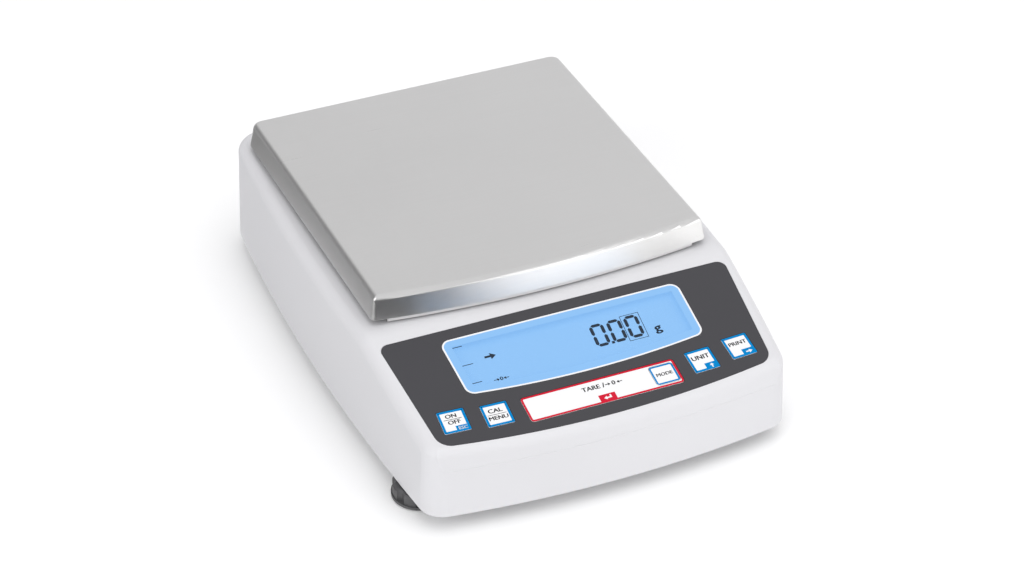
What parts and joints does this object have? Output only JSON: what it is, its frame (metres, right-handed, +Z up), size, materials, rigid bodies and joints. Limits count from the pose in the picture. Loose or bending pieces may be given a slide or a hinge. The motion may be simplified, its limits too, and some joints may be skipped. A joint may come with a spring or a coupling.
{
  "type": "precision balance",
  "caption": "Top-loading precision balance: square steel pan over a load cell, sloped panel with display and keys, levelling feet",
  "frame": {"origin": "on the floor, under the middle of the whole balance's outline", "axes": "+Z up; -Y towards the user, who faces the sloped panel; +X to the user's right"},
  "size_m": [0.198, 0.28, 0.078],
  "materials": {
    "housing_plastic": "fine-grained light grey moulding",
    "base_plastic": "grey moulding",
    "panel_film": "dark grey printed film",
    "display_window": "clear window",
    "lcd_glass": "light blue display",
    "backlight": "white diffuser",
    "circuit_board": "green laminate",
    "black_plastic": "black moulding",
    "steel": "plated steel",
    "key_white": "white keys",
    "pan_steel": "satin stainless sheet",
    "cast_aluminium": "die-cast",
    "cell_aluminium": "machined",
    "rubber_dark": "soft rubber",
    "brass": "turned",
    "foot_plastic": "dark grey moulding",
    "port_metal": "nickel-plated shell",
    "level_fluid": "tinted fluid",
    "bubble_air": "air bubble",
    "ribbon_grey": "grey ribbon cable"
  },
  "bodies": {
    "housing": {"upper_housing": "housing_plastic", "base_tray": "base_plastic", "panel_film": "panel_film", "display_window": "display_window", "lcd_glass": "lcd_glass", "lcd_bezel": "black_plastic", "backlight": "backlight", "display_board": "circuit_board", "key_switches": "black_plastic", "display_board_screws": "steel", "load_cell": "cell_aluminium", "cell_spacer": "cell_aluminium", "cell_bolts": "steel", "overload_stops": "steel", "foot_inserts": "brass", "rear_feet": "rubber_dark", "housing_screws": "steel", "main_board": "circuit_board", "board_parts": "black_plastic", "board_screws": "steel", "power_jack": "black_plastic", "serial_port": "port_metal", "port_posts": "steel", "level_case": "black_plastic", "level_vial": "level_fluid", "level_bubble": "bubble_air", "display_ribbon": "ribbon_grey"},
    "load_carrier": {"pan_support": "cast_aluminium", "pan_dampers": "rubber_dark", "support_screw": "steel", "load_column": "cell_aluminium", "load_bracket": "cell_aluminium", "bracket_bolts": "steel"},
    "pan": {"weighing_pan": "pan_steel"},
    "tare_key": {"tare_key": "key_white"},
    "mode_key": {"mode_key": "key_white"},
    "power_key": {"power_key": "key_white"},
    "cal_key": {"cal_key": "key_white"},
    "unit_key": {"unit_key": "key_white"},
    "print_key": {"print_key": "key_white"},
    "left_foot": {"left_foot_pad": "rubber_dark"},
    "left_wheel": {"left_foot_wheel": "foot_plastic", "left_foot_stud": "steel"},
    "right_foot": {"right_foot_pad": "rubber_dark"},
    "right_wheel": {"right_foot_wheel": "foot_plastic", "right_foot_stud": "steel"}
  },
  "joints": [
    {"name": "weigh_travel", "type": "slide", "parent": "housing", "child": "load_carrier", "axis": [0, 0, -1], "range_m": [0, 0.0005], "stiffness_N_per_m": 20000, "springref_m": -0.0005},
    {"name": "pan_lift", "type": "slide", "parent": "load_carrier", "child": "pan", "axis": [0, 0, 1], "range_m": [0, 0.03]},
    {"name": "tare_key_press", "type": "slide", "parent": "housing", "child": "tare_key", "axis": [0, 0.2419, -0.9703], "range_m": [0, 0.0004], "stiffness_N_per_m": 1000, "springref_m": -0.0001},
    {"name": "mode_key_press", "type": "slide", "parent": "housing", "child": "mode_key", "axis": [0, 0.2419, -0.9703], "range_m": [0, 0.0004], "stiffness_N_per_m": 1000, "springref_m": -0.0001},
    {"name": "power_key_press", "type": "slide", "parent": "housing", "child": "power_key", "axis": [0, 0.2419, -0.9703], "range_m": [0, 0.0004], "stiffness_N_per_m": 1000, "springref_m": -0.0001},
    {"name": "cal_key_press", "type": "slide", "parent": "housing", "child": "cal_key", "axis": [0, 0.2419, -0.9703], "range_m": [0, 0.0004], "stiffness_N_per_m": 1000, "springref_m": -0.0001},
    {"name": "unit_key_press", "type": "slide", "parent": "housing", "child": "unit_key", "axis": [0, 0.2419, -0.9703], "range_m": [0, 0.0004], "stiffness_N_per_m": 1000, "springref_m": -0.0001},
    {"name": "print_key_press", "type": "slide", "parent": "housing", "child": "print_key", "axis": [0, 0.2419, -0.9703], "range_m": [0, 0.0004], "stiffness_N_per_m": 1000, "springref_m": -0.0001},
    {"name": "left_foot_travel", "type": "slide", "parent": "housing", "child": "left_foot", "axis": [0, 0, -1], "range_m": [0, 0.00601]},
    {"name": "left_wheel_turn", "type": "hinge", "parent": "left_foot", "child": "left_wheel", "pos_m": [-0.0845, -0.102, 0], "axis": [0, 0, -1], "range_deg": [0, 2160]},
    {"name": "right_foot_travel", "type": "slide", "parent": "housing", "child": "right_foot", "axis": [0, 0, -1], "range_m": [0, 0.00601]},
    {"name": "right_wheel_turn", "type": "hinge", "parent": "right_foot", "child": "right_wheel", "pos_m": [0.0845, -0.102, 0], "axis": [0, 0, -1], "range_deg": [0, 2160]}
  ],
  "couplings": [
    {"joint": "left_foot_travel", "follows": "left_wheel_turn", "m_per_rad": 0.00015915},
    {"joint": "right_foot_travel", "follows": "right_wheel_turn", "m_per_rad": 0.00015915}
  ]
}
